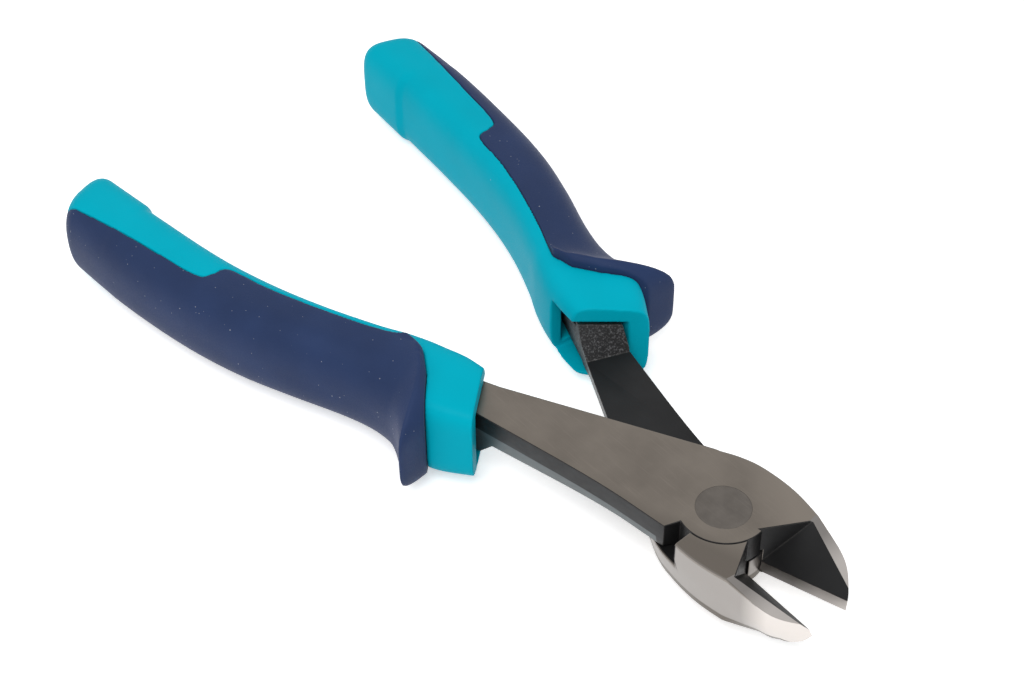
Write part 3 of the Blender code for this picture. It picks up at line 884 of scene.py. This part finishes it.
class CutterSteel(bpy.types.PropertyGroup):
    """Edges of the forged levers and the rivet."""

    edge_round: length("Edge rounding", "Width broken off the jaw's outer edges", 0.42 * MM)
    rivet_line: length("Rivet line", "Width of the fine line round the rivet's end", 0.02 * MM)
    rivet_chamfer: length("Rivet chamfer", "Chamfer at each end of the rivet", 0.02 * MM)


class CutterGrips(bpy.types.PropertyGroup):
    """Moulding of the two-component grips."""

    ring_points: IntProperty(name="Ring points", description="Points round a section", min=24, default=224)
    ring_pitch: length("Ring pitch", "Distance between sections", 0.25 * MM)
    grid: length("Mould grid", "Cell of the closed skin, which also rounds its edges", 0.23 * MM)
    softening: IntProperty(
        name="Softening", description="Passes that round the moulded edges", min=0, default=7
    )
    thinning: factor("Thinning", "Share of the skin's faces that stays", 0.4)


class CutterColours(bpy.types.PropertyGroup):
    """Colours of the finishes."""

    ground: colour("Ground steel", "Ground faces of the levers", (0.25, 0.22, 0.19))
    bright: colour("Bright steel", "Jaw walls and edge lands", (0.32, 0.3, 0.285))
    rivet: colour("Rivet", "Ground end of the rivet", (0.185, 0.167, 0.15))
    oxide: colour("Black oxide", "Arms, bevels and notches", (0.026, 0.026, 0.027))
    # Painted reflection: this colour stands in for the pale floor seen in the arms' lower facets.
    under: colour("Lower facets", "Painted_floor_reflection_on lower facets of the arms' sides", (0.12, 0.135, 0.14))
    core: colour("Grip core", "Hard teal plastic", (0.0, 0.41, 0.54))
    cover: colour("Grip cover", "Soft navy plastic", (0.0195, 0.038, 0.105))


class CutterStage(bpy.types.PropertyGroup):
    """Camera, light and floor."""

    lens: FloatProperty(
        name="Lens", description="Focal length on a 36 mm sensor", unit="CAMERA", min=1, default=70.3
    )
    azimuth: angle("Azimuth", "Direction of the camera from the aim, anticlockwise from +X", -40.06)
    elevation: angle("Elevation", "Height of the camera above the floor as an angle", 43.84)
    roll: angle("Roll", "Turn of the camera about its own axis", -0.5)
    distance: length("Distance", "From the camera to the point that it aims at", 378.6 * MM)
    aim: FloatVectorProperty(
        name="Aim",
        description="Point in the middle of the frame",
        unit="LENGTH",
        size=3,
        default=(-55.8 * MM, -0.9 * MM, 0.0),
    )
    sky: FloatProperty(name="Sky", description="Strength of the even studio light", min=0, default=0.72)
    dark_side: FloatProperty(
        name="Dark side", description="Strength of the light behind the camera", min=0, default=0.45
    )
    key: FloatProperty(
        name="Key", description="Power of the softbox by the camera", subtype="POWER", min=0, default=2.0
    )
    floor_shade: factor("Floor shade", "Albedo of the floor", 0.95)
    floor_lift: factor("Floor lift", "White added to the floor as seen", 0.48)


def half_of(node):
    """The side, resting turn and body of a node: 1 for the upper half and -1 for the lower."""
    upper = node.startswith(("upper", "left", "pivot"))
    side = 1 if upper else -1
    return side, side * REST_OPENING / 2, "upper_half" if upper else "lower_half"


def dress(piece, node, finish):
    """Gives a finished piece its material, hides its solid and lets it ride on that solid's body."""
    piece.data.materials.clear()
    piece.data.materials.append(finish)
    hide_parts(node)
    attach(piece, half_of(node)[2])


def settle(piece, turn):
    """Turns a piece's mesh from the closed drawing to its place at rest."""
    piece.data.transform(Matrix.Translation((0, 0, -HALF_HEAD)) @ Matrix.Rotation(turn, 4, "Z"))


def baked(piece):
    """Swaps a piece's live modifiers for the mesh that they make, and drops the cutters."""
    graph = bpy.context.evaluated_depsgraph_get()
    mesh = bpy.data.meshes.new_from_object(piece.evaluated_get(graph))
    tools = [m.object for m in piece.modifiers if m.type == "BOOLEAN"]
    piece.modifiers.clear()
    piece.data = mesh
    for tool in tools:
        nested = [m.object for m in tool.modifiers if m.type == "BOOLEAN"]
        for gone in (*nested, tool):
            bpy.data.objects.remove(gone, do_unlink=True)
    return piece


def is_outer_wall(centre, normal, side):
    """True on the walls round the outside of the jaw and boss, in the closed drawing."""
    x, y = centre.x, side * centre.y
    radius = math.hypot(x, y)
    out = normal.x * x + side * normal.y * y
    around = y > WALL_FROM_Y and x > ARM_ROOT_X and radius > HEAD_HALF_WIDTH - WALL_BAND
    faces_out = side * normal.y > -WALL_TURN and out > WALL_OUTWARD * radius
    return around and faces_out and abs(normal.z) < WALL_LEVEL


def weigh_edges(mesh, side):
    """Sets how far each edge is broken: most round the jaw, least on the cutting edge, not at the rivet."""
    shape = bmesh.new()
    shape.from_mesh(mesh)
    weight = shape.edges.layers.float.new("bevel_weight_edge")
    for edge in shape.edges:
        if len(edge.link_faces) != 2 or edge.calc_face_angle() < BEND_ANGLE:
            continue
        x, y = ((edge.verts[0].co + edge.verts[1].co) / 2).xy
        if math.hypot(x, y) < (RIVET_RADIUS + BOSS_RADIUS) / 2:
            continue
        cutting = x > BOSS_RADIUS and abs(y) < CUTTING_BAND
        walls = any(is_outer_wall(f.calc_center_median(), f.normal, side) for f in edge.link_faces)
        fade = max(0, min(1, 1 - (x - NOSE_FROM_X) / NOSE_RISE))
        edge[weight] = fade * (CUTTING_WEIGHT if cutting else WALL_WEIGHT if walls else EDGE_WEIGHT)
    shape.to_mesh(mesh)
    shape.free()


def face_finish(face, side, strip):
    """How far a lever's face is ground, bright, rough, a broken edge (a strip) and a lower facet, which
    carries a painted reflection of the floor.
    """
    x, y, z = face.center
    y, z = side * y, side * z
    normal = face.normal
    level, outward = abs(normal.z), side * normal.y
    radius = math.hypot(x, y)
    slope = not strip and x > NOSE_FROM_X and normal.z > SLOPE_LEVEL
    slope = slope and abs(normal.y) < SLOPE_TURN < normal.x
    flat = slope or level > FLAT_LEVEL and abs(abs(z) - HALF_HEAD) < FLAT_BAND
    wall = is_outer_wall(face.center, normal, side)
    rim = strip and outward > -RIM_TURN and y > RIM_FROM_Y
    rim = rim and x > ARM_ROOT_X and radius > HEAD_HALF_WIDTH - WALL_BAND
    land = level < LAND_LEVEL and outward < -LAND_TURN and 0 <= y < LAND_BAND
    land = land and x > BOSS_RADIUS + LAND_LEAD
    behind = (collar_line(COLLAR_Y) - Vector((x, y))).dot(polar(1, COLLAR_SLANT))
    rough = behind > (-SHOULDER_LEAD - ROUGH_LEAD if level > ROUGH_LEVEL else 0) and not flat
    # A lower facet of an arm's side faces down towards the floor and gets a painted floor reflection.
    low = level < FACET_LEVEL and x < -BOSS_RADIUS and y < 0 and side * z < PARTING_HEIGHT - FLAT_BAND
    boss = level < BOSS_LEVEL and side * z < 0 and x > BOSS_RADIUS / 2
    boss = boss and abs(radius - BOSS_RADIUS) < BOSS_BAND
    tip = normal.x > TIP_AHEAD and x > JAW_LENGTH - 2 * TIP_SETBACK
    shine = wall or slope or land or boss or rim or tip
    return flat or shine, shine and (STRIP_SHINE if strip else 1), rough, strip, low and not rough


def level_normals(mesh):
    """Points the corners of level faces straight up or down, so that they shade flat."""
    normals = [corner.vector.copy() for corner in mesh.corner_normals]
    for face in mesh.polygons:
        if abs(face.normal.z) > SHADE_LEVEL:
            for corner in face.loop_indices:
                normals[corner] = Vector((0, 0, math.copysign(1, face.normal.z)))
    mesh.normals_split_custom_set([tuple(normal) for normal in normals])


def mark_finishes(mesh, side):
    """Marks the lever's faces by finish, in its closed drawing. The second material marks broken edges."""
    names = ("ground", "bright", "rough", "edge", "under")
    marks = {name: [] for name in names}
    for face in mesh.polygons:
        strip = face.material_index == 1
        face.material_index = 0
        for name, value in zip(names, face_finish(face, side, strip)):
            marks[name].append(float(value))
    level_normals(mesh)
    for name, values in marks.items():
        mesh.attributes.new(name, "FLOAT", "FACE").data.foreach_set("value", values)


def forge_lever(node, steel, finish):
    """A lever with broken edges and its faces marked by finish, in its place at rest."""
    side, turn, _ = half_of(node)
    lever = baked(make_lever(node + "_forging", side, RIVET_RADIUS + steel.rivet_line))
    clean_facets(lever.data, FORGED_MERGE, FLAT_ANGLE)
    weigh_edges(lever.data, side)
    lever.data.shade_smooth()
    for _ in ("faces", "broken edges"):
        lever.data.materials.append(finish)
    bevel = lever.modifiers.new("edge", "BEVEL")
    bevel.width = steel.edge_round
    bevel.segments = 2
    bevel.limit_method = "WEIGHT"
    bevel.material = 1
    bevel.use_clamp_overlap = False
    baked(lever)
    clean_facets(lever.data, BROKEN_MERGE)
    lever.data.set_sharp_from_angle(angle=SHARP_ANGLE)
    faces = lever.modifiers.new("faces", "WEIGHTED_NORMAL")
    faces.weight = 100
    faces.keep_sharp = True
    baked(lever)
    mark_finishes(lever.data, side)
    settle(lever, turn)
    dress(lever, node, finish)


def mould_skin(piece, grips):
    """Gives a moulded piece one closed skin with rounded edges."""
    skin = piece.modifiers.new("mould", "REMESH")
    skin.mode = "VOXEL"
    skin.voxel_size = grips.grid
    soften = piece.modifiers.new("soften", "SMOOTH")
    soften.iterations = grips.softening
    soften.factor = SOFTENING_SHARE
    thin = piece.modifiers.new("thin", "DECIMATE")
    thin.ratio = grips.thinning
    baked(piece)


def camera_axes(stage):
    """The directions to the camera's right, up and back."""
    back = Vector(
        (
            math.cos(stage.elevation) * math.cos(stage.azimuth),
            math.cos(stage.elevation) * math.sin(stage.azimuth),
            math.sin(stage.elevation),
        )
    )
    level = Vector((0, 0, 1)).cross(back).normalized()
    steep = back.cross(level)
    right = level * math.cos(stage.roll) + steep * math.sin(stage.roll)
    return right, back.cross(right), back


def place_camera(scene, stage, axes):
    camera = bpy.data.objects.new("camera", bpy.data.cameras.new("camera"))
    camera.data.lens = stage.lens
    camera.data.sensor_width = SENSOR_WIDTH
    camera.data.clip_start, camera.data.clip_end = CLIP_RANGE
    place = Matrix.Translation(Vector(stage.aim) + axes[2] * stage.distance)
    camera.matrix_world = place @ Matrix(axes).transposed().to_4x4()
    scene.collection.objects.link(camera)
    scene.camera = camera


def lay_floor(scene, stage):
    """A wide floor just under the part."""
    low = CAD_BOX[0][2] - FLOOR_GAP
    signs = ((-1, -1), (1, -1), (1, 1), (-1, 1))
    mesh = bpy.data.meshes.new("studio_floor")
    mesh.from_pydata([(x * FLOOR_REACH, y * FLOOR_REACH, low) for x, y in signs], [], [(0, 1, 2, 3)])
    floor = bpy.data.objects.new("studio_floor", mesh)
    floor.data.materials.append(floor_finish(stage))
    scene.collection.objects.link(floor)


def hang_softbox(scene, stage, axes):
    """The one lamp, behind the camera, a little above it and to its left."""
    right, up, back = axes
    aim = Vector(stage.aim)
    box = bpy.data.objects.new("softbox", bpy.data.lights.new("softbox", "AREA"))
    box.data.energy = stage.key
    box.data.size = BOX_SIZE
    box.location = aim + back * BOX_AWAY + up * BOX_ABOVE - right * BOX_LEFT
    box.rotation_euler = (box.location - aim).to_track_quat("Z", "Y").to_euler()
    scene.collection.objects.link(box)


def light_room(world, stage, back):
    """An even room, darker behind the camera, and white where the camera sees it."""
    room = Finish(world)
    heading = room.node("ShaderNodeTexCoord", out="Generated")
    inputs = {0: heading, 1: tuple(back)}
    facing = room.node("ShaderNodeVectorMath", {"operation": "DOT_PRODUCT"}, inputs, out="Value")
    shade = room.between(facing, *DARK_RANGE, stage.sky, stage.dark_side)
    seen = room.node("ShaderNodeLightPath", out="Is Camera Ray")
    background = room.tree.nodes.get("Background")
    room.feed(background.inputs["Color"], WHITE)
    room.feed(background.inputs["Strength"], shade * (1 - seen) + seen)


class MESH_OT_cutter_levers(bpy.types.Operator):
    """Forge both levers with broken edges, ground faces and black oxide arms"""

    bl_idname = "mesh.cutter_levers"
    bl_label = "Levers"
    bl_options = {"REGISTER", "UNDO"}

    def execute(self, context):
        finish = steel_finish(context.scene.cutter_colours)
        for node in ("upper_lever", "lower_lever"):
            forge_lever(node, context.scene.cutter_steel, finish)
        return {"FINISHED"}


class MESH_OT_cutter_rivet(bpy.types.Operator):
    """Turn the flush rivet with chamfered ends"""

    bl_idname = "mesh.cutter_rivet"
    bl_label = "Rivet"
    bl_options = {"REGISTER", "UNDO"}

    def execute(self, context):
        chamfer = context.scene.cutter_steel.rivet_chamfer
        rim = RIVET_RADIUS - chamfer
        levels = [
            (rim, HALF_HEAD),
            (RIVET_RADIUS, HALF_HEAD - chamfer),
            (RIVET_RADIUS, chamfer - HALF_HEAD),
            (rim, -HALF_HEAD),
        ]
        rings = [[(p.x, p.y, z) for p in arc(radius, 0, 2 * math.pi)[:-1]] for radius, z in levels]
        rivet = loft("pivot_rivet_pin", rings, 1)
        settle(rivet, REST_OPENING / 2)
        rivet.data.shade_smooth()
        rivet.data.set_sharp_from_angle(angle=SHARP_ANGLE)
        dress(rivet, "pivot_rivet", rivet_finish(context.scene.cutter_colours))
        return {"FINISHED"}


class MESH_OT_cutter_grips(bpy.types.Operator):
    """Mould the hard cores and the soft covers of both grips"""

    bl_idname = "mesh.cutter_grips"
    bl_label = "Grips"
    bl_options = {"REGISTER", "UNDO"}

    def execute(self, context):
        grips, colours = context.scene.cutter_grips, context.scene.cutter_colours
        hard, soft = core_finish(colours), cover_finish(colours)
        for name in ("left_grip", "right_grip"):
            side, turn, _ = half_of(name)
            core, cover = make_grip(name, side, grips)
            for piece, node, slot, finish in (
                (core, name + "_core", "teal_plastic", hard),
                (cover, name + "_cover", "navy_rubber", soft),
            ):
                mould_skin(baked(piece), grips)
                settle(piece, turn)
                piece.data.shade_smooth()
                dress(piece, node, finish)
        return {"FINISHED"}


class SCENE_OT_cutter_stage(bpy.types.Operator):
    """Set the floor, the studio light and the camera"""

    bl_idname = "scene.cutter_stage"
    bl_label = "Stage"
    bl_options = {"REGISTER", "UNDO"}

    def execute(self, context):
        scene = context.scene
        stage = scene.cutter_stage
        axes = camera_axes(stage)
        place_camera(scene, stage, axes)
        lay_floor(scene, stage)
        hang_softbox(scene, stage, axes)
        scene.view_settings.view_transform = "Standard"
        scene.world = bpy.data.worlds.new("studio")
        light_room(scene.world, stage, axes[2])
        return {"FINISHED"}


class VIEW3D_PT_cutter(bpy.types.Panel):
    """Lists the cutter's pieces and their values"""

    bl_label = "Diagonal Cutter"
    bl_idname = "VIEW3D_PT_cutter"
    bl_space_type = "VIEW_3D"
    bl_region_type = "UI"
    bl_category = "Cutter"

    def draw(self, context):
        for operator in OPERATORS:
            self.layout.operator(operator.bl_idname)
        for group, kind in GROUPS.items():
            box = self.layout.box()
            for name in kind.__annotations__:
                box.prop(getattr(context.scene, group), name)


OPERATORS = (MESH_OT_cutter_levers, MESH_OT_cutter_rivet, MESH_OT_cutter_grips, SCENE_OT_cutter_stage)
GROUPS = {
    "cutter_steel": CutterSteel,
    "cutter_grips": CutterGrips,
    "cutter_colours": CutterColours,
    "cutter_stage": CutterStage,
}


def register():
    for kind in (*GROUPS.values(), *OPERATORS, VIEW3D_PT_cutter):
        bpy.utils.register_class(kind)
    for name, kind in GROUPS.items():
        setattr(bpy.types.Scene, name, PointerProperty(type=kind))


def unregister():
    for name in GROUPS:
        delattr(bpy.types.Scene, name)
    for kind in (VIEW3D_PT_cutter, *reversed(OPERATORS), *reversed(GROUPS.values())):
        bpy.utils.unregister_class(kind)


def clear_startup():
    """Removes the startup scene's cube, lamp and camera, and leaves the frame."""
    for name in ("Cube", "Light", "Camera"):
        if name in bpy.data.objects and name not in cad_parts:
            bpy.data.objects.remove(bpy.data.objects[name], do_unlink=True)


def main():
    clear_startup()
    register()
    bpy.ops.scene.cutter_stage()
    bpy.ops.mesh.cutter_levers()
    bpy.ops.mesh.cutter_rivet()
    bpy.ops.mesh.cutter_grips()


if __name__ == "__main__":
    main()
